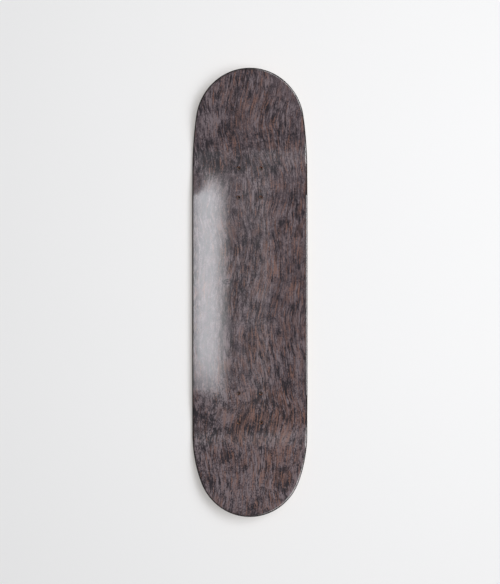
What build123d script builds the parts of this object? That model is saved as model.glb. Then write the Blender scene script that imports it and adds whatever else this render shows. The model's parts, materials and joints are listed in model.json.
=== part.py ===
from build123d import *
import math
import os

# A bare skateboard deck: seven sheets of maple veneer, pressed into one curved
# board, cut to its outline, drilled for two trucks and rounded along its edge.
# Millimetres. X runs across the board, Y along it with the nose at +Y, Z up.
# The flat middle of the underside lies on Z = 0, and the origin is on it, at the
# middle of the board's length and width.

# Overall sizes
deck_length = 815.0
deck_width = 212.7

# Truck bolt holes: a group of four for each truck
nose_length = 177.8  # from the outer holes of the front truck to the nose tip
tail_length = 167.3  # from the outer holes of the rear truck to the tail tip
bolt_spacing_across = 41.275
bolt_spacing_along = 53.975
bolt_hole_diameter = 5.5

# Outline: a round tip, a wide shoulder arc and then a straight side
nose_narrowing = 6.5  # how much smaller the tip radius is than half the width
nose_shoulder_radius = 613.0
tail_narrowing = 10.0
tail_shoulder_radius = 237.0

# Concave: the underside is flat along the middle and curves up to both rails. The
# curve fades over a length that ends where each kick starts.
flat_centre_width = 56.0
concave_radius = 312.0
concave_fade_length = 75.0
kick_concave = 0.2  # the share of the curve that is left in the kicks

# Kicks: the board bends up past the outer holes, then runs straight to the tip
flat_past_holes = 14.0
kick_bend_radius = 120.0
nose_angle = 20.5
tail_angle = 19.5

# Veneers, from the underside up, and the rounding of the edge
long_grain_thickness = 1.6
crossband_thickness = 1.5
edge_radius = 3.6

# How far the raw pressed sheet reaches past the finished board on every side
trim_allowance = 4.0

# Sections that shape each length over which the concave fades
fade_sections = 7

plies = [
    ("ply_7_bottom_face", long_grain_thickness),
    ("ply_6_lower_core", long_grain_thickness),
    ("ply_5_lower_crossband", crossband_thickness),
    ("ply_4_centre_core", long_grain_thickness),
    ("ply_3_upper_crossband", crossband_thickness),
    ("ply_2_upper_core", long_grain_thickness),
    ("ply_1_top_face", long_grain_thickness),
]
deck_thickness = sum(thickness for name, thickness in plies)

# Places that follow from the sizes above
half_length = deck_length / 2
half_width = deck_width / 2
half_flat = flat_centre_width / 2
front_outer_holes = half_length - nose_length
rear_outer_holes = tail_length - half_length
front_truck_centre = front_outer_holes - bolt_spacing_along / 2
rear_truck_centre = rear_outer_holes + bolt_spacing_along / 2
nose_bend_start = front_outer_holes + flat_past_holes
tail_bend_start = rear_outer_holes - flat_past_holes
nose_fade_start = nose_bend_start - concave_fade_length
tail_fade_start = tail_bend_start + concave_fade_length


def section(bottom, top, concave=1):
    """The cross-section between two heights above the underside, in XZ at Y = 0.

    Concave is the share of the full curve that the rails have."""
    reach = half_width - half_flat + trim_allowance
    centre_height = concave_radius / concave
    rail_angle = math.asin(reach / (centre_height - top))

    def on_arc(height, angle, side):
        radius = centre_height - height
        x = side * (half_flat + radius * math.sin(angle))
        return Vector(x, 0, centre_height - radius * math.cos(angle))

    def curve(height, side):
        points = [on_arc(height, rail_angle * share, side) for share in (0, 0.5, 1)]
        return ThreePointArc(*points)

    edges = []
    for height in (bottom, top):
        edges += [curve(height, side) for side in (-1, 1)]
        edges.append(Line(on_arc(height, 0, -1), on_arc(height, 0, 1)))
    for side in (-1, 1):
        edges.append(Line(on_arc(bottom, rail_angle, side), on_arc(top, rail_angle, side)))
    return Face(Wire(edges))


def fade(bottom, top, start, direction):
    """The length over which the concave fades, up to where a kick starts."""
    sections = []
    for step in range(fade_sections):
        share = step / (fade_sections - 1)
        faded = share**2 * (3 - 2 * share)
        y = start + direction * concave_fade_length * share
        sections.append(Pos(0, y, 0) * section(bottom, top, 1 - (1 - kick_concave) * faded))
    return loft(sections)


def kick(bottom, top, bend_start, angle, direction):
    """The bend and the straight kick at one end. Direction is 1 at the nose, -1 at the tail."""
    bend_axis = Axis((0, bend_start, kick_bend_radius), (direction, 0, 0))
    start = Pos(0, bend_start, 0) * section(bottom, top, kick_concave)
    bend = revolve(start, axis=bend_axis, revolution_arc=angle)
    slope = math.radians(angle)
    along = Vector(0, direction * math.cos(slope), math.sin(slope))
    straight = extrude(start.rotate(bend_axis, angle), amount=half_length - abs(bend_start), dir=along)
    return bend + straight


def sheet_parts(bottom, top):
    """An untrimmed curved sheet between two heights, from its tail to its nose."""
    middle = extrude(
        Pos(0, tail_fade_start, 0) * section(bottom, top),
        amount=nose_fade_start - tail_fade_start,
        dir=(0, 1, 0),
    )
    return [
        kick(bottom, top, tail_bend_start, tail_angle, -1),
        fade(bottom, top, tail_fade_start, -1),
        middle,
        fade(bottom, top, nose_fade_start, 1),
        kick(bottom, top, nose_bend_start, nose_angle, 1),
    ]


def end_of_outline(narrowing, shoulder_radius, direction):
    """The curves round one end, and the Y at which the straight sides start."""
    tip_radius = half_width - narrowing
    tip_centre = Vector(0, direction * (half_length - tip_radius))
    across = shoulder_radius - half_width
    between_centres = shoulder_radius - tip_radius
    shoulder_y = tip_centre.Y - direction * math.sqrt(between_centres**2 - across**2)
    shoulder_angle = math.degrees(math.asin(abs(tip_centre.Y - shoulder_y) / between_centres))
    tip_sweep = 180 - 2 * shoulder_angle

    if direction > 0:
        right_start, left_start, tip_start = 0, 180 - shoulder_angle, shoulder_angle
    else:
        right_start, left_start, tip_start = -shoulder_angle, 180, 180 + shoulder_angle
    right = CenterArc((-across, shoulder_y), shoulder_radius, right_start, shoulder_angle)
    left = CenterArc((across, shoulder_y), shoulder_radius, left_start, shoulder_angle)
    tip = CenterArc(tip_centre, tip_radius, tip_start, tip_sweep)
    return [right, left, tip], shoulder_y


def outline():
    """The board's shape seen from above."""
    nose_curves, nose_side = end_of_outline(nose_narrowing, nose_shoulder_radius, 1)
    tail_curves, tail_side = end_of_outline(tail_narrowing, tail_shoulder_radius, -1)
    sides = [
        Line((side * half_width, tail_side), (side * half_width, nose_side))
        for side in (-1, 1)
    ]
    return Face(Wire(nose_curves + tail_curves + sides))


def bolt_holes(height):
    """Eight drills, long enough to pass through the board."""
    drill = Cylinder(bolt_hole_diameter / 2, 2 * height)
    places = [
        (x, truck + y)
        for truck in (front_truck_centre, rear_truck_centre)
        for x in (-bolt_spacing_across / 2, bolt_spacing_across / 2)
        for y in (-bolt_spacing_along / 2, bolt_spacing_along / 2)
    ]
    return [Pos(x, y, 0) * drill for x, y in places]


def finished_board():
    """The whole board as it leaves the workshop, before it is told apart into its plies."""
    sheet = Part() + sheet_parts(0, deck_thickness)
    highest = sheet.bounding_box().max.Z
    cutter = extrude(Pos(0, 0, -trim_allowance) * outline(), amount=highest + 2 * trim_allowance)
    board = sheet & cutter
    cut_faces = [face for face in board.faces() if abs(face.normal_at().Z) < 1e-6]
    rim = [
        edge
        for face in cut_faces
        for edge in face.edges()
        if abs((edge @ 1 - edge @ 0).X) + abs((edge @ 1 - edge @ 0).Y) > 1e-6
    ]
    board = fillet(rim, edge_radius)
    return board - bolt_holes(deck_thickness + trim_allowance)


def board_parts(board):
    """The board parted across where the shape of its section changes, from its tail."""
    places = [-deck_length, tail_bend_start, tail_fade_start, nose_fade_start, nose_bend_start, deck_length]
    slabs = [
        Pos(0, (start + end) / 2, 0) * Box(2 * deck_width, end - start, deck_length)
        for start, end in zip(places, places[1:])
    ]
    return [board & slab for slab in slabs]


def build_plies(board):
    """Each ply is the part of the board between its two glue lines."""
    solids = {}
    bottom = 0
    parts = board_parts(board)
    for name, thickness in plies:
        top = bottom + thickness
        lower = bottom if bottom > 0 else -trim_allowance
        upper = top if top < deck_thickness else top + trim_allowance
        cut = [part & sheet for part, sheet in zip(parts, sheet_parts(lower, upper))]
        solids[name] = cut[0] + cut[1:]
        bottom = top
    return solids


os.makedirs("parts", exist_ok=True)
for name, solid in build_plies(finished_board()).items():
    export_step(solid, f"parts/{name}.step")
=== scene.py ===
# %% [markdown]
# # A bare skateboard deck
# A deck is seven sheets of maple veneer, pressed together into one curved board. The packed
# model already holds the seven plies at their true size and place. This lesson gives each ply
# a smoother mesh of the same shape, a wood finish, and a plain studio to be seen in.

import json
import math

import bpy
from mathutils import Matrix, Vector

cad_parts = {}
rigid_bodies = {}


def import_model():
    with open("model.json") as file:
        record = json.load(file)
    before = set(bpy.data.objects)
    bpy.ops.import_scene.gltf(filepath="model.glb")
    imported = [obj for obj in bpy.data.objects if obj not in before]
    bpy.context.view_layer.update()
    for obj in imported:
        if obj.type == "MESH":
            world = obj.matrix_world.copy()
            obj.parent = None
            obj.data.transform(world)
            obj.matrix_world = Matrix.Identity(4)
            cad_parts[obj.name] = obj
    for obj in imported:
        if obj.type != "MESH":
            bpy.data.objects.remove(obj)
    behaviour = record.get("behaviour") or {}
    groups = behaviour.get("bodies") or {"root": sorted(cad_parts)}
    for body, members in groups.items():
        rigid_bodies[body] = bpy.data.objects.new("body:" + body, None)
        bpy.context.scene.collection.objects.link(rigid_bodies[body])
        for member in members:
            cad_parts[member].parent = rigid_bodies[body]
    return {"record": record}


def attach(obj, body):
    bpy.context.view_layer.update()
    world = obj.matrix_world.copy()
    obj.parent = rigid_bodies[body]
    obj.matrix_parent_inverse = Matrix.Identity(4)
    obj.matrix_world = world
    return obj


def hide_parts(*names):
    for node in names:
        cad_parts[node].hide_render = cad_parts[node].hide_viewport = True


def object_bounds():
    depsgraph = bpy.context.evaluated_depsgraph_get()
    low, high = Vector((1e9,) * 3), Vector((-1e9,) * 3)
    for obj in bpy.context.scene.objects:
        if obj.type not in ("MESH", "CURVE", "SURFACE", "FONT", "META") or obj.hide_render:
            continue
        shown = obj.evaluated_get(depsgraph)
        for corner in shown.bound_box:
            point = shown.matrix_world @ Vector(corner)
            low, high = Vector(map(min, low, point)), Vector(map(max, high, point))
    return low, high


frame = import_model()
cad_low, cad_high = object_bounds()
print("model box:", [round(side, 4) for side in cad_high - cad_low])

# %% [markdown]
# ## The sizes of the board
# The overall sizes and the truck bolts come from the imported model. The rest describes the
# mould that the plies were pressed in: how it curves up to the rails, and how it kicks up at
# the nose and the tail. Everything is in metres.

# %% Sizes
half_width = cad_high.x
half_length = cad_high.y
mounts = {mount["name"]: mount for mount in frame["record"]["mounts"]}
bolt_groups = [mounts["front_truck_bolts"], mounts["rear_truck_bolts"]]
bolt_spacing_across = bolt_groups[0]["dims"]["spacing_x_mm"] / 1000
bolt_spacing_along = bolt_groups[0]["dims"]["spacing_y_mm"] / 1000
bolt_hole_radius = bolt_groups[0]["dims"]["hole_r_mm"] / 1000
front_outer_holes = bolt_groups[0]["pos_m"][1] + bolt_spacing_along / 2
rear_outer_holes = bolt_groups[1]["pos_m"][1] - bolt_spacing_along / 2

half_flat = 0.028
concave_radius = 0.312
concave_fade_length = 0.075
kick_concave = 0.2
flat_past_holes = 0.014
kick_bend_radius = 0.120
nose_angle = math.radians(20.5)
tail_angle = math.radians(19.5)
nose_bend_start = front_outer_holes + flat_past_holes
tail_bend_start = rear_outer_holes - flat_past_holes
nose_fade_start = nose_bend_start - concave_fade_length
tail_fade_start = tail_bend_start + concave_fade_length

edge_radius = 0.0036
shading_border = 0.0008
long_grain = 0.0016
crossband = 0.0015

# Each ply from the underside up: its name, the CAD node it stands for, and its thickness
plies = [
    ("bottom_veneer", "ply_7_bottom_face", long_grain),
    ("lower_core_veneer", "ply_6_lower_core", long_grain),
    ("lower_crossband", "ply_5_lower_crossband", crossband),
    ("centre_core_veneer", "ply_4_centre_core", long_grain),
    ("upper_crossband", "ply_3_upper_crossband", crossband),
    ("upper_core_veneer", "ply_2_upper_core", long_grain),
    ("top_veneer", "ply_1_top_face", long_grain),
]
board_thickness = sum(thickness for name, node, thickness in plies)
print("board thickness:", round(board_thickness, 4))

# %% [markdown]
# ## The outline
# A deck's outline is drawn with a compass: a round tip, a wide shoulder arc that meets it
# smoothly, and a straight side. In Blender a single vertex and the Spin tool do the same. The
# vertex starts at the right rail, spins round each compass point in turn, and leaves an arc of
# edges behind it. The two ends have their own radii.


# %% Draw the outline
class End:
    """The compass points and sweeps of one end of the outline."""

    def __init__(self, side, narrowing, shoulder_radius):
        tip_radius = half_width - narrowing
        across = shoulder_radius - half_width
        between_centres = shoulder_radius - tip_radius
        self.tip_y = side * (half_length - tip_radius)
        self.shoulder_y = self.tip_y - side * math.sqrt(between_centres**2 - across**2)
        self.shoulder_x = across
        self.shoulder_sweep = math.acos(across / between_centres)


nose = End(1, 0.0065, 0.613)
tail = End(-1, 0.0100, 0.237)
shoulder_steps = 10
tip_steps = 60


def pick_nothing():
    """Back to object mode with nothing selected, before the next piece is added."""
    if bpy.context.mode != "OBJECT":
        bpy.ops.object.mode_set(mode="OBJECT")
    bpy.ops.object.select_all(action="DESELECT")


def spin(x, y, sweep, steps):
    """Spins the selected vertex anticlockwise round a point, seen from above."""
    bpy.ops.mesh.spin(steps=steps, angle=-sweep, center=(x, y, 0), axis=(0, 0, 1))


def spin_end(end, side):
    """From one straight side, round a shoulder, the tip and the other shoulder."""
    spin(-side * end.shoulder_x, end.shoulder_y, end.shoulder_sweep, shoulder_steps)
    spin(0, end.tip_y, math.pi - 2 * end.shoulder_sweep, tip_steps)
    spin(side * end.shoulder_x, end.shoulder_y, end.shoulder_sweep, shoulder_steps)


def draw_outline(name, inset, height):
    """One flat face with the board's outline, drawn in by inset, in edit mode."""
    pick_nothing()
    bpy.ops.mesh.primitive_plane_add(size=0.001, location=(half_width - inset, nose.shoulder_y, height))
    piece = bpy.context.object
    piece.name = name
    bpy.ops.object.transform_apply(location=True)
    bpy.ops.object.mode_set(mode="EDIT")
    bpy.ops.mesh.select_all(action="SELECT")
    bpy.ops.mesh.merge(type="CENTER")
    side_length = nose.shoulder_y - tail.shoulder_y
    spin_end(nose, 1)
    bpy.ops.mesh.extrude_region_move(TRANSFORM_OT_translate={"value": (0, -side_length, 0)})
    spin_end(tail, -1)
    bpy.ops.mesh.extrude_region_move(TRANSFORM_OT_translate={"value": (0, side_length, 0)})
    bpy.ops.mesh.select_all(action="SELECT")
    bpy.ops.mesh.remove_doubles(threshold=1e-6)
    bpy.ops.mesh.edge_face_add()
    piece.update_from_editmode()
    if piece.data.polygons[0].normal.z < 0:
        bpy.ops.mesh.flip_normals()
    return piece


# %% [markdown]
# ## A ply as a flat blank
# The edge of the board is rounded after pressing, so the plies near the top and the bottom are
# each a little smaller than the one beside them. A ply is built from its wide side to its
# narrow side. Each Inset draws the face in and moves it along, so a few of them make the ply's
# share of the rounding. One last, very narrow inset keeps the shading of the flat face clean.


# %% Build the edge of a ply
turn_of_inset = math.radians(9)


def rounding_inset(height):
    """How far the rounded edge is drawn in at this height in the board's thickness."""
    from_face = min(height, board_thickness - height)
    drop = max(edge_radius - from_face, 0)
    return edge_radius - math.sqrt(edge_radius**2 - drop**2)


def rounding_heights(start, end):
    """Heights from start to end, close together where the edge is round."""
    upward = end > start

    def angle_at(height):
        from_face = board_thickness - height if upward else height
        return math.asin(max(1 - from_face / edge_radius, 0))

    steps = max(1, math.ceil((angle_at(end) - angle_at(start)) / turn_of_inset))
    heights = [start]
    if angle_at(start) == 0 < angle_at(end):
        heights.append(board_thickness - edge_radius if upward else edge_radius)
    first = angle_at(heights[-1])
    for step in range(1, steps):
        angle = first + (angle_at(end) - first) * step / steps
        from_face = edge_radius * (1 - math.sin(angle))
        heights.append(board_thickness - from_face if upward else from_face)
    return heights + [end]


def build_blank(name, bottom, top):
    """The ply as a flat, closed sheet, between two heights in the board's thickness."""
    upward = (bottom + top) / 2 >= board_thickness / 2 - 1e-6
    wide, narrow = (bottom, top) if upward else (top, bottom)
    piece = draw_outline(name, rounding_inset(wide), wide)
    if not upward:
        bpy.ops.mesh.flip_normals()
    if rounding_inset(narrow) < 1e-6:
        bpy.ops.mesh.extrude_region_move(TRANSFORM_OT_translate={"value": (0, 0, narrow - wide)})
    else:
        heights = rounding_heights(wide, narrow)
        bpy.ops.mesh.duplicate()
        bpy.ops.mesh.flip_normals()
        bpy.ops.mesh.select_all(action="INVERT")
        for start, end in zip(heights, heights[1:]):
            draw_in = rounding_inset(end) - rounding_inset(start)
            bpy.ops.mesh.inset(thickness=draw_in, depth=abs(end - start))
        if narrow in (0, board_thickness):
            bpy.ops.mesh.inset(thickness=shading_border)
        bpy.ops.mesh.select_all(action="SELECT")
        bpy.ops.mesh.remove_doubles(threshold=1e-6)
    return piece


# %% [markdown]
# ## Cuts where the press will bend the sheet
# A single large face can't bend, so Bisect cuts the blank across wherever the mould curves:
# close together along the rails and in the two kicks, and far apart where it stays straight.


# %% Cut the blank into strips
def spread(start, end, count):
    """Evenly spaced places from start to end, both included."""
    return [start + (end - start) * step / count for step in range(count + 1)]


def bend_cuts(start, angle):
    """Places along the board from the start of a kick's bend to near its tip."""
    bend_end = start + kick_bend_radius * math.sin(angle)
    return spread(start, bend_end, 12) + spread(bend_end, half_length, 8)[1:-1]


rail_cuts = spread(half_flat, half_width, 15)[:-1]
cuts_across = [0] + rail_cuts + [-x for x in rail_cuts]
cuts_along = (
    bend_cuts(nose_bend_start, nose_angle)
    + [-y for y in bend_cuts(-tail_bend_start, tail_angle)]
    + spread(nose_fade_start, nose_bend_start, 12)[:-1]
    + spread(tail_bend_start, tail_fade_start, 12)[1:]
    + spread(tail_fade_start, nose_fade_start, 8)[1:-1]
)
print("cuts across:", len(cuts_across), "cuts along:", len(cuts_along))


def cut_into_strips():
    """Cuts the blank that is in edit mode through its whole thickness."""
    cuts = [((x, 0, 0), (1, 0, 0)) for x in cuts_across] + [((0, y, 0), (0, 1, 0)) for y in cuts_along]
    for place, direction in cuts:
        bpy.ops.mesh.select_all(action="SELECT")
        bpy.ops.mesh.bisect(plane_co=place, plane_no=direction)
    bpy.ops.mesh.select_all(action="SELECT")
    bpy.ops.mesh.dissolve_degenerate(threshold=1e-7)
    bpy.ops.object.mode_set(mode="OBJECT")


# %% [markdown]
# ## The bolt holes
# Eight drills, one for each truck bolt, are joined into one tool. A Boolean modifier takes it
# out of every blank while the blank is still flat, because a flat face cuts cleanly.


# %% Make the drills
def make_drills():
    pick_nothing()
    for group in bolt_groups:
        centre_x, centre_y, _ = group["pos_m"]
        for side in (-1, 1):
            for end in (-1, 1):
                place = (
                    centre_x + side * bolt_spacing_across / 2,
                    centre_y + end * bolt_spacing_along / 2,
                    board_thickness / 2,
                )
                bpy.ops.mesh.primitive_cylinder_add(
                    vertices=48, radius=bolt_hole_radius, depth=3 * board_thickness, location=place
                )
    pick_nothing()
    drills = [piece for piece in bpy.data.objects if piece.name.startswith("Cylinder")]
    for drill in drills:
        drill.select_set(True)
    bpy.context.view_layer.objects.active = drills[0]
    bpy.ops.object.join()
    bpy.ops.object.transform_apply()
    drills[0].name = "drills"
    return drills[0]


def apply_modifier(piece, kind, **settings):
    pick_nothing()
    piece.select_set(True)
    bpy.context.view_layer.objects.active = piece
    modifier = piece.modifiers.new(kind.lower(), kind)
    for setting, value in settings.items():
        setattr(modifier, setting, value)
    bpy.ops.object.modifier_apply(modifier=modifier.name)


# %% [markdown]
# ## Sockets as numbers
# The press and the finishes are both made of nodes that do sums. This small class wraps a
# socket, so that a sum on it can be written as it would be on paper, and each sign adds the
# Math node it stands for. The same class serves a node tree of either kind.


# %% A socket that can be added and multiplied
class Value:
    """One output socket of a node tree. Arithmetic on it adds Math nodes."""

    def __init__(self, tree, socket):
        self.tree = tree
        self.socket = socket

    def math(self, operation, *inputs):
        sockets = dict(enumerate(inputs))
        return add_node(self.tree, "ShaderNodeMath", {"operation": operation}, sockets)

    def __add__(self, other):
        return self.math("ADD", self, other)

    def __sub__(self, other):
        return self.math("SUBTRACT", self, other)

    def __rsub__(self, other):
        return self.math("SUBTRACT", other, self)

    def __mul__(self, other):
        return self.math("MULTIPLY", self, other)

    def __truediv__(self, other):
        return self.math("DIVIDE", self, other)

    def at_least(self, other):
        return self.math("MAXIMUM", self, other)

    def at_most(self, other):
        return self.math("MINIMUM", self, other)

    def root(self):
        return self.math("SQRT", self)

    def size(self):
        return self.math("ABSOLUTE", self)

    def rounded(self):
        return self.math("ROUND", self)

    def rising(self, start, end):
        """0 below start, 1 above end, and a smooth rise between them."""
        settings = {"interpolation_type": "SMOOTHSTEP"}
        sockets = {"Value": self, "From Min": start, "From Max": end}
        return add_node(self.tree, "ShaderNodeMapRange", settings, sockets)

    __radd__ = __add__
    __rmul__ = __mul__


def add_node(tree, kind, settings=None, sockets=None, output=0):
    """Adds a node: its settings first, then the values or links of its sockets."""
    node = tree.nodes.new(kind)
    for setting, value in (settings or {}).items():
        if setting == "stops":
            set_ramp(node.color_ramp, value)
        else:
            setattr(node, setting, value)
    for name, value in (sockets or {}).items():
        if isinstance(value, Value):
            tree.links.new(value.socket, node.inputs[name])
        else:
            node.inputs[name].default_value = value
    return Value(tree, node.outputs[output]) if node.outputs else None


def set_ramp(ramp, stops):
    """Gives a colour ramp its stops: a position and a colour each."""
    while len(ramp.elements) < len(stops):
        ramp.elements.new(1)
    for element, (position, colour) in zip(ramp.elements, stops):
        element.position = position
        element.color = (*colour, 1)


def split(vector):
    """The three numbers of a vector."""
    tree = vector.tree
    numbers = add_node(tree, "ShaderNodeSeparateXYZ", sockets={"Vector": vector})
    return [Value(tree, socket) for socket in numbers.socket.node.outputs]


def join(tree, x, y, z):
    """A vector from three numbers."""
    return add_node(tree, "ShaderNodeCombineXYZ", sockets={"X": x, "Y": y, "Z": z})


# %% [markdown]
# ## The press
# The mould lifts every point of a flat blank straight up. How far depends on where the point
# is: nothing in the flat middle, an arc towards each rail that fades near the trucks, and at
# both ends a bend followed by a straight slope. A small Geometry Nodes modifier does this
# lift. Before it moves anything it stores each point's flat place, so that later the wood
# grain can follow the bent sheet.


# %% Build the press
def lift_at_kick(height, past_start, angle):
    """The height of a point after one kick, from its height before it."""
    radius = kick_bend_radius - height
    reach = radius * math.sin(angle)
    in_bend = past_start.at_least(0).at_most(reach)
    past_bend = (past_start - reach).at_least(0)
    return kick_bend_radius - (radius * radius - in_bend * in_bend).root() + past_bend * math.tan(angle)


def build_press():
    press = bpy.data.node_groups.new("press", "GeometryNodeTree")
    press.interface.new_socket("Geometry", in_out="INPUT", socket_type="NodeSocketGeometry")
    press.interface.new_socket("Geometry", in_out="OUTPUT", socket_type="NodeSocketGeometry")
    blank = add_node(press, "NodeGroupInput")
    flat_place = add_node(press, "GeometryNodeInputPosition")
    across, along, height = split(flat_place)

    faded = along.rising(nose_fade_start, nose_bend_start)
    faded = faded + (-1 * along).rising(-tail_fade_start, -tail_bend_start)
    curving = (1 - (1 - kick_concave) * faded) / concave_radius
    past_flat = (across.size() - half_flat).at_least(0)
    level = 1 - curving * height
    slope = curving * past_flat
    height = height + slope * past_flat / (level + (level * level - slope * slope).root())
    height = lift_at_kick(height, along - nose_bend_start, nose_angle)
    height = lift_at_kick(height, -1 * along + tail_bend_start, tail_angle)

    marked = add_node(
        press,
        "GeometryNodeStoreNamedAttribute",
        {"data_type": "FLOAT_VECTOR", "domain": "POINT"},
        {"Geometry": blank, "Name": "flat_place", "Value": flat_place},
    )
    pressed = add_node(
        press,
        "GeometryNodeSetPosition",
        sockets={"Geometry": marked, "Position": join(press, across, along, height)},
    )
    add_node(press, "NodeGroupOutput", sockets={"Geometry": pressed})
    return press


# %% [markdown]
# ## Make the seven plies
# Each ply goes through the same steps: a blank with its share of the rounded edge, the cuts,
# the eight holes, and the press. It then takes the place of its CAD node.

# %% Make the plies
drills = make_drills()
press = build_press()
pieces = {}
bottom = 0
for name, node, thickness in plies:
    piece = build_blank(name, bottom, bottom + thickness)
    cut_into_strips()
    apply_modifier(piece, "BOOLEAN", operation="DIFFERENCE", solver="EXACT", object=drills)
    apply_modifier(piece, "NODES", node_group=press)
    bpy.ops.object.shade_smooth_by_angle(angle=math.radians(35))
    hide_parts(node)
    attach(piece, "root")
    pieces[name] = piece
    bottom += thickness
    print(name, len(piece.data.polygons), "faces")
bpy.data.objects.remove(drills)

# %% [markdown]
# ## The figure of the wood
# A veneer is peeled or sliced from a log, so its grain runs lengthwise in streaks that wander,
# lean and close into long V shapes where the cut leaves the growth rings. Painting that by hand
# would take days and wouldn't follow the piece. Here one noise pushes the place aside before
# a second, long and thin noise draws the streaks, so the streaks lean as the first one varies.
# All patterns read the flat place that the press stored, so the grain bends with the board.


# %% Noise, and the wandering grain
lacquer_ior = 1.5
bare_roughness = 0.6
bare_shine = 0.15


def stored_place(tree):
    """Where each point of the ply lay before it was pressed."""
    settings = {"attribute_type": "GEOMETRY", "attribute_name": "flat_place"}
    return add_node(tree, "ShaderNodeAttribute", settings, output=1)


def noise(place, across, along, seed, detail):
    """Noise about 0, with its number of cells per metre across and along the grain."""
    tree = place.tree
    stretched = add_node(
        tree,
        "ShaderNodeVectorMath",
        {"operation": "MULTIPLY_ADD"},
        {0: place, 1: (across, along, 100), 2: (7.1 * seed, 3.7 * seed, 1.9 * seed)},
    )
    sockets = {"Vector": stretched, "Scale": 1, "Detail": detail}
    cloud = add_node(tree, "ShaderNodeTexNoise", sockets=sockets)
    return cloud - 0.5


def wander(place, seed, far, near):
    """The place pushed sideways, by far metres slowly and by near metres quickly."""
    x, y, z = split(place)
    x = x + far * noise(place, 8, 7, seed, 1) + near * noise(place, 34, 22, seed + 1, 2)
    return join(place.tree, x, y, z)


def mix(factor, under, over):
    """One colour over another, by a factor from 0 to 1."""
    tree = factor.tree
    settings = {"data_type": "RGBA"}
    return add_node(tree, "ShaderNodeMix", settings, {0: factor, 6: under, 7: over}, output=2)


def ramp(value, stops):
    return add_node(value.tree, "ShaderNodeValToRGB", {"stops": stops}, {0: value})


def new_material(name):
    material = bpy.data.materials.new(name + "_finish")
    material.use_nodes = True
    material.node_tree.nodes.clear()
    return material


def finish_material(material, sockets, bump_height, bump_depth, bare=None):
    """Lacquered wood, with a bump of this depth in metres, and dull where bare is 1."""
    tree = material.node_tree
    bump = add_node(
        tree,
        "ShaderNodeBump",
        sockets={"Height": bump_height, "Distance": bump_depth, "Strength": 1},
    )
    lacquer = {"IOR": lacquer_ior, "Normal": bump}
    surface = add_node(tree, "ShaderNodeBsdfPrincipled", sockets={**sockets, **lacquer})
    if bare is not None:
        dull = {"Roughness": bare_roughness, "Specular IOR Level": bare_shine, "Normal": bump}
        dull["Base Color"] = sockets["Base Color"]
        dull_wood = add_node(tree, "ShaderNodeBsdfPrincipled", sockets=dull)
        surface = add_node(tree, "ShaderNodeMixShader", sockets={0: bare, 1: surface, 2: dull_wood})
    add_node(tree, "ShaderNodeOutputMaterial", sockets={"Surface": surface})
    return material


# %% [markdown]
# ## Stained curly maple
# The top veneer is dyed a plum black and lacquered. Dye doesn't hide the wood. It sinks deep
# into soft and curly grain, which goes charcoal, and hardly enters the dense streaks, which
# keep a pinkish brown. So the colour is a ramp from dark to light over the summed grain, and
# two more layers lie over it: brown streaks, and finer, pinker ones. Clouds of deeper or paler
# dye and one small knot break up the figure. The colour is near-black on the rounded edge and
# darker along the rim, and a ring of painted shade lies round each bolt hole. The walls of the
# drilled holes are bare wood.

# %% Places on the board that change its finish
holes_centre = (bolt_groups[0]["pos_m"][1] + bolt_groups[1]["pos_m"][1]) / 2
holes_apart = (bolt_groups[0]["pos_m"][1] - bolt_groups[1]["pos_m"][1]) / 2
knot_place = (-0.041, 0.020)
knot_size = (0.0085, 0.0045)
drilled_wood = (0.620, 0.270, 0.130, 1)
brown_wood = (0.142, 0.082, 0.072, 1)
pink_wood = (0.205, 0.106, 0.080, 1)
rim_near_black = (0.009, 0.007, 0.007, 1)
# Painted shade: the dark ring round each bolt hole
painted_hole_shade = (0.012, 0.008, 0.008, 1)
top_grain_depth = 0.000045

# Clouds of deeper or paler dye: across, along, half width, half length and change of tone
dye_clouds = [
    (-0.072, 0.246, 0.040, 0.030, -0.32),
    (0.002, 0.238, 0.054, 0.030, -0.26),
    (0.020, 0.268, 0.040, 0.018, -0.30),
    (0.032, 0.292, 0.026, 0.014, -0.32),
    (-0.045, 0.300, 0.018, 0.016, -0.32),
    (-0.068, 0.314, 0.030, 0.022, 0.28),
    (0.062, 0.122, 0.024, 0.026, -0.32),
    (-0.080, -0.222, 0.028, 0.042, -0.36),
    (0.010, -0.222, 0.076, 0.044, -0.36),
    (0.060, -0.348, 0.024, 0.026, -0.40),
    (-0.030, -0.262, 0.018, 0.024, -0.32),
    (-0.022, -0.358, 0.034, 0.040, 0.24),
]


def from_hole(place):
    """How far a point is from the middle of its nearest bolt hole."""
    x, y, _ = split(place)
    across = x.size() - bolt_spacing_across / 2
    along = ((y - holes_centre).size() - holes_apart).size() - bolt_spacing_along / 2
    return (across * across + along * along).root()


def in_hole(place):
    """1 on the wall of a bolt hole and 0 elsewhere."""
    return 1 - from_hole(place).rising(bolt_hole_radius, bolt_hole_radius + 0.0001)


def from_spot(place, spot_x, spot_y, half_across, half_along):
    """0 in the middle of an oval spot and 1 on its border."""
    x, y, _ = split(place)
    across = (x - spot_x) / half_across
    along = (y - spot_y) / half_along
    return (across * across + along * along).root()


def veins(cloud, width):
    """Thin lines where a noise crosses 0: long loops that close in V shapes."""
    return 1 - cloud.size().rising(0, width)


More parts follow.
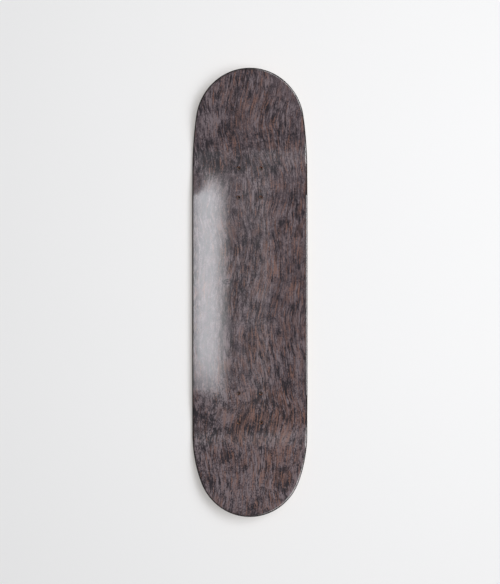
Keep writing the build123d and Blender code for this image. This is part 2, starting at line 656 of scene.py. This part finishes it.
# %% Stained veneer
def stained_veneer():
    material = new_material("stained_top_veneer")
    tree = material.node_tree
    place = stored_place(tree)
    across, along, height = split(place)
    leaning = wander(place, 3, far=0.048, near=0.010)
    swaying = wander(place, 6, far=0.022, near=0.018)

    # The layers of the figure. Combed is 1 where the streaks are strong, and 0 where they are faint
    streaks = noise(leaning, 360, 44, 11, 4)
    fine_lines = noise(swaying, 820, 230, 12, 3)
    grit = noise(place, 540, 430, 18, 2)
    mottling = noise(swaying, 105, 58, 13, 4)
    clouds = noise(place, 26, 22, 14, 5)
    curl = noise(leaning, 190, 120, 15, 3)
    near_middle = 1 - along.size().rising(0.10, 0.26)
    at_tail = (-1 * along).rising(0.12, 0.24)
    bands = noise(leaning, 150, 9, 24, 3) * near_middle
    combed = noise(place, 17, 13, 19, 2).rising(-0.14, 0.12)
    dark_veins = veins(noise(leaning, 120, 15, 16, 3), 0.045)
    pale_veins = veins(noise(swaying, 170, 22, 17, 3), 0.045)

    # Their sum, turned into a tone: 0 is the deepest dye, and 1 the palest
    figure = (0.9 + 1.5 * combed) * streaks + 1.2 * fine_lines + grit
    figure = figure + 0.9 * mottling + 0.8 * clouds + 0.6 * curl + 1.1 * bands
    figure = figure - combed * (0.40 * dark_veins - 0.28 * pale_veins)
    tone = 0.52 + (1.03 + 0.75 * at_tail) * figure

    for cloud_x, cloud_y, half_across, half_along, change in dye_clouds:
        spot = from_spot(swaying, cloud_x, cloud_y, half_across, half_along) + 2 * clouds + 1.5 * curl
        tone = tone + change * (1 - spot.rising(0.2, 1.2))
    from_knot = from_spot(place, *knot_place, *knot_size)
    knot_ring = 1 - (from_knot - 0.85).size().rising(0, 0.35)
    knot_centre = 1 - from_knot.rising(0.1, 0.5)
    tone = tone - 0.8 * knot_ring - 0.8 * knot_centre

    # The colours, with more brown towards the right rail and the tail
    charcoal = (0.022, 0.018, 0.022)
    plum = (0.074, 0.056, 0.063)
    pale_plum = (0.170, 0.136, 0.146)
    colour = ramp(tone, [(0.08, charcoal), (0.50, plum), (0.95, pale_plum)])
    to_the_right = across.rising(-0.10, 0.03)
    to_the_tail = (-1 * along).rising(0, 0.25)
    patches = noise(place, 20, 11, 23, 3)
    brown_share = 0.06 * to_the_right + 0.04 * to_the_tail + 0.3 * patches
    brown = noise(leaning, 230, 24, 21, 4) + 0.5 * mottling + brown_share
    colour = mix(brown.rising(0.04, 0.28) * 0.55, colour, brown_wood)
    flecks = noise(leaning, 380, 26, 22, 3) + 0.8 * brown_share + 0.4 * grit
    colour = mix(flecks.rising(0.11, 0.24) * 0.7, colour, pink_wood)

    # The rim made near-black and darker, painted shade round the holes, and the bare walls of the holes
    # Darker in a band just inside the rim, and near-black on the rounded edge
    past_ends = (along.size() - (half_length - half_width)).at_least(0)
    from_rim = half_width - (across * across + past_ends * past_ends).root()
    darker_near_rim = 1 - from_rim.rising(0.0010, 0.0070)
    on_edge = (board_thickness - height).rising(0, 0.0004)
    colour = mix((0.55 * darker_near_rim).at_least(0.9 * on_edge), colour, rim_near_black)
    # Painted shade: a dark ring on the top face round each bolt hole
    painted_shade_round_hole = 1 - from_hole(place).rising(0.0030, 0.0050)
    colour = mix(painted_shade_round_hole * 0.8, colour, painted_hole_shade)
    hole_wall = in_hole(place)
    colour = mix(hole_wall, colour, drilled_wood)

    roughness = 0.155 + 0.20 * streaks + 0.12 * clouds - 0.06 * on_edge
    sockets = {"Base Color": colour, "Roughness": roughness}
    raised = fine_lines + 1.2 * streaks
    return finish_material(material, sockets, raised, top_grain_depth, hole_wall)


stained = stained_veneer()
print("stained veneer:", len(stained.node_tree.nodes), "nodes")

# %% [markdown]
# ## Natural maple
# The six plies under the top one are plain maple. They show as thin layers along the edge and
# as the pale face under the board. Where fibres end at the surface they soak up more lacquer,
# so end grain is darker than side grain: on the crossbands that is along the rails, and on the
# other plies it is at the tips. A thin dark line marks the glue between two plies. The upper
# part of the rounded edge, on the next ply too, is made near-black.


# %% Plain maple
mineral_brown = (0.230, 0.120, 0.055, 1)
glue_brown = (0.110, 0.055, 0.025, 1)
# Near-black on the upper part of the rounded edge, rising between these two heights
edge_near_black = (0.008, 0.006, 0.006, 1)
edge_black_ends_at = board_thickness - 0.0034
edge_black_is_full_at = board_thickness - 0.0026
maple_grain_depth = 0.00004


def maple(name, pale, deep, end_grain, grain_along, seed):
    """Maple with its grain along the board, or across it for a crossband."""
    material = new_material(name)
    tree = material.node_tree
    place = stored_place(tree)
    height = split(place)[2]
    cells = (330, 24) if grain_along else (24, 330)
    grain = wander(place, seed, far=0.016, near=0.004)
    streaks = noise(grain, *cells, seed + 2, 4)
    pores = noise(grain, 4 * cells[0], 4 * cells[1], seed + 3, 2)
    ripple = noise(place, 40, 130, seed + 4, 2)
    clouds = noise(place, 12, 9, seed + 5, 2)
    tone = 0.5 + 1.2 * streaks + 0.9 * pores + 0.6 * ripple + 0.9 * clouds
    colour = ramp(tone, [(0.15, deep), (0.85, pale)])
    mineral = noise(grain, cells[0] / 3, cells[1] / 3, seed + 6, 3).rising(0.17, 0.26)
    colour = mix(mineral * 0.35, colour, mineral_brown)

    # End grain, and the glue lines where the surface is steep enough to cut through the plies
    normal = split(add_node(tree, "ShaderNodeNewGeometry", output=1))
    at_end = normal[1 if grain_along else 0].size().rising(0.4, 0.9)
    colour = mix(at_end * 0.8, colour, (*end_grain, 1))
    in_ply = ((height - board_thickness / 2).size() - crossband / 2) / long_grain
    from_glue = (in_ply - in_ply.rounded()).size() * long_grain
    glue_line = 1 - from_glue.rising(0.00003, 0.00010)
    steep = 1 - normal[2].size().rising(0.90, 0.99)
    colour = mix(glue_line * steep * 0.6, colour, glue_brown)

    blackened_edge_mask = height.rising(edge_black_ends_at, edge_black_is_full_at)
    colour = mix(0.96 * blackened_edge_mask, colour, edge_near_black)
    hole_wall = in_hole(place)
    colour = mix(hole_wall, colour, drilled_wood)
    roughness = 0.30 + 0.15 * streaks + 0.25 * at_end.at_least(hole_wall)
    sockets = {"Base Color": colour, "Roughness": roughness}
    return finish_material(material, sockets, pores + streaks, maple_grain_depth)


tip_grain_end = (0.25, 0.13, 0.06)
rail_grain_end = (0.20, 0.10, 0.045)
core_wood = maple(
    "long_grain_core_veneer",
    pale=(0.60, 0.41, 0.24),
    deep=(0.44, 0.27, 0.14),
    end_grain=tip_grain_end,
    grain_along=True,
    seed=40,
)
cross_wood = maple(
    "crossband_veneer",
    pale=(0.50, 0.33, 0.18),
    deep=(0.36, 0.21, 0.10),
    end_grain=rail_grain_end,
    grain_along=False,
    seed=50,
)
bottom_wood = maple(
    "natural_bottom_veneer",
    pale=(0.66, 0.47, 0.29),
    deep=(0.50, 0.32, 0.17),
    end_grain=tip_grain_end,
    grain_along=True,
    seed=60,
)

# %% [markdown]
# ## Put the finishes on
# Each piece takes the finish of its own kind of veneer.

# %% Assign the finishes
finishes = {
    "top_veneer": stained,
    "bottom_veneer": bottom_wood,
    "upper_crossband": cross_wood,
    "lower_crossband": cross_wood,
}
for name, piece in pieces.items():
    material = finishes.get(name, core_wood)
    piece.data.materials.clear()
    piece.data.materials.append(material)

# %% [markdown]
# ## The floor
# The board lies on a plain pale floor, a plane large enough to reach past every view. It glows
# a little by itself, a painted glow that keeps the shadow round the board pale. Its middle,
# under the board, is painted shade: dark and without glow, so that the bolt holes look deep.


# %% Make the floor
floor_size = 60
floor_height = -0.0003

# The painted shade in the middle: how far from the middle it starts to brighten, and where it is bright
painted_shade_across = (half_width - 0.020, half_width - 0.010)
painted_shade_along = (0.26, 0.30)


def make_floor():
    pick_nothing()
    bpy.ops.mesh.primitive_plane_add(size=floor_size, location=(0, 0, floor_height))
    floor = bpy.context.object
    floor.name = "floor"
    material = new_material("pale_floor")
    tree = material.node_tree
    place = add_node(tree, "ShaderNodeTexCoord", output=3)
    x, y, _ = split(place)
    # Painted glow and brightness outside the middle, and painted shade in the dark middle under the
    # board
    painted_glow_mask = x.size().rising(*painted_shade_across).at_least(y.size().rising(*painted_shade_along))
    floor_tone_with_painted_shade = 0.15 + 0.40 * painted_glow_mask + 0.01 * noise(place, 3, 3, 70, 2)
    colour = join(tree, floor_tone_with_painted_shade, floor_tone_with_painted_shade, floor_tone_with_painted_shade)
    painted_glow = join(tree, painted_glow_mask, painted_glow_mask, painted_glow_mask)
    shader = add_node(
        tree,
        "ShaderNodeBsdfPrincipled",
        sockets={
            "Base Color": colour,
            "Roughness": 0.9,
            "Specular IOR Level": 0.1,
            "Emission Color": painted_glow,
            "Emission Strength": 0.30,
        },
    )
    add_node(tree, "ShaderNodeOutputMaterial", sockets={"Surface": shader})
    floor.data.materials.append(material)


make_floor()

# %% [markdown]
# ## The studio light
# A softbox hangs beside the camera, on the right, with a dimmer border on its near side. Its
# reflection lies on the left half of the board, because the concave turns that side of the
# lacquer towards it. A wide light higher up makes the soft shadow along the left rail. It is
# hidden from reflections, so the rest of the lacquer stays dark. A light further to the right
# does the opposite: it shows only in reflections, as a fine bright line on the rounded edge.
# An even sky fills the rest.

# %% Light the studio
camera_height = 2.7


def area_light(name, place, size, power):
    data = bpy.data.lights.new(name, "AREA")
    data.shape = "RECTANGLE"
    data.size, data.size_y = size
    data.energy = power
    light = bpy.data.objects.new(name, data)
    light.location = place
    bpy.context.scene.collection.objects.link(light)
    return light


softbox_y = 0.22
softbox_length = 1.16
softbox = area_light("softbox", (0.82, softbox_y, camera_height), (0.76, softbox_length), 30)
softbox.data.color = (0.95, 0.96, 1.0)
soft_border = area_light("soft_border", (0.315, softbox_y, camera_height), (0.25, softbox_length), 4.2)
overhead = area_light("overhead", (1.1, 0.3, camera_height + 0.3), (2.0, 2.0), 60)
overhead.visible_glossy = False
rim_light_place = (1.9, 0.0, 2.2)
rim_light = area_light("rim_light", rim_light_place, (0.8, 1.5), 80)
rim_light.rotation_euler = (0, math.atan2(rim_light_place[0], rim_light_place[2]), 0)
rim_light.visible_diffuse = False

world = bpy.data.worlds.new("sky")
world.use_nodes = True
sky = world.node_tree.nodes["Background"]
sky.inputs["Color"].default_value = (1, 1, 1, 1)
sky.inputs["Strength"].default_value = 0.2
bpy.context.scene.world = world

# %% [markdown]
# ## The camera
# The camera looks straight down on the middle of the board from far away through a long lens,
# so the raised nose and tail look only a little larger than the middle.

# %% Place the camera
camera_data = bpy.data.cameras.new("camera")
camera_data.lens = 90.15
camera_data.sensor_width = 36
camera = bpy.data.objects.new("camera", camera_data)
camera.location = (0.0004, 0.0011, camera_height + board_thickness)
bpy.context.scene.collection.objects.link(camera)
bpy.context.scene.camera = camera
bpy.context.scene.view_settings.view_transform = "Standard"
